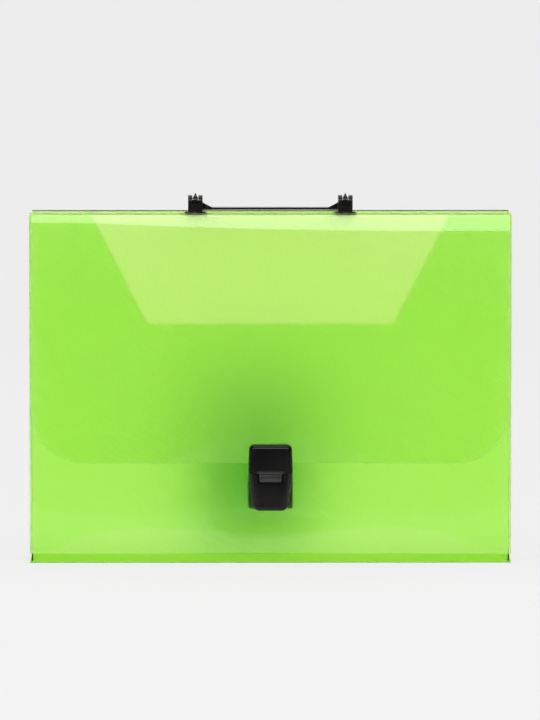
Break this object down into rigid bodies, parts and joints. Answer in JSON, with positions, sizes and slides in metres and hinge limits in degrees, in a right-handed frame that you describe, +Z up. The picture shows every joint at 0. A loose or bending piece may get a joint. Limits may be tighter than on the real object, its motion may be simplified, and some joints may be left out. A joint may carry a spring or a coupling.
{
  "type": "plastic briefcase",
  "caption": "Translucent plastic document briefcase with hinged lid and flap, push-up snap latch and fold-down carrying handle",
  "frame": {"origin": "Middle of the flat face that the briefcase stands on.", "axes": "+X runs along the width to the viewer's right, +Y points to the back, +Z points up. The latch is at the front, facing -Y."},
  "size_m": [0.33, 0.0542, 0.253],
  "materials": {
    "green_sheet": "translucent lime-green polypropylene sheet with a fine diagonal embossed grain",
    "black_plastic": "satin black injection-moulded plastic",
    "screw_steel": "zinc-plated steel"
  },
  "bodies": {
    "case": {"base_channel": "green_sheet", "back_panel": "green_sheet", "front_panel": "green_sheet", "side_panel_left": "green_sheet", "side_panel_right": "green_sheet", "latch_keeper": "black_plastic", "keeper_backplate": "black_plastic", "keeper_screws": "screw_steel"},
    "lid": {"rear_crease": "green_sheet", "top_panel": "green_sheet", "handle_bracket_left": "black_plastic", "handle_bracket_right": "black_plastic", "handle_pin_left": "screw_steel", "handle_pin_right": "screw_steel", "bracket_backplate_left": "black_plastic", "bracket_backplate_right": "black_plastic", "bracket_screws": "screw_steel"},
    "handle": {"handle_grip": "black_plastic"},
    "flap": {"flap_crease": "green_sheet", "flap": "green_sheet", "latch_clasp": "black_plastic", "clasp_backplate": "black_plastic", "clasp_screws": "screw_steel", "latch_catch": "black_plastic"},
    "button": {"latch_button": "black_plastic"}
  },
  "joints": [
    {"name": "lid_fold", "type": "hinge", "parent": "case", "child": "lid", "pos_m": [0, 0.0195, 0.2395], "axis": [-1, 0, 0], "range_deg": [0, 90], "deforming": ["rear_crease"]},
    {"name": "flap_fold", "type": "hinge", "parent": "lid", "child": "flap", "pos_m": [0, -0.01335, 0.2395], "axis": [-1, 0, 0], "range_deg": [0, 175], "deforming": ["flap_crease", "latch_catch"]},
    {"name": "handle_fold", "type": "hinge", "parent": "lid", "child": "handle", "pos_m": [0, 0.00332, 0.248], "axis": [1, 0, 0], "range_deg": [0, 95]},
    {"name": "button_slide", "type": "slide", "parent": "flap", "child": "button", "axis": [0, 0.0384, 0.9993], "range_m": [0, 0.002], "stiffness_N_per_m": 300, "deforming": ["latch_catch"]}
  ]
}
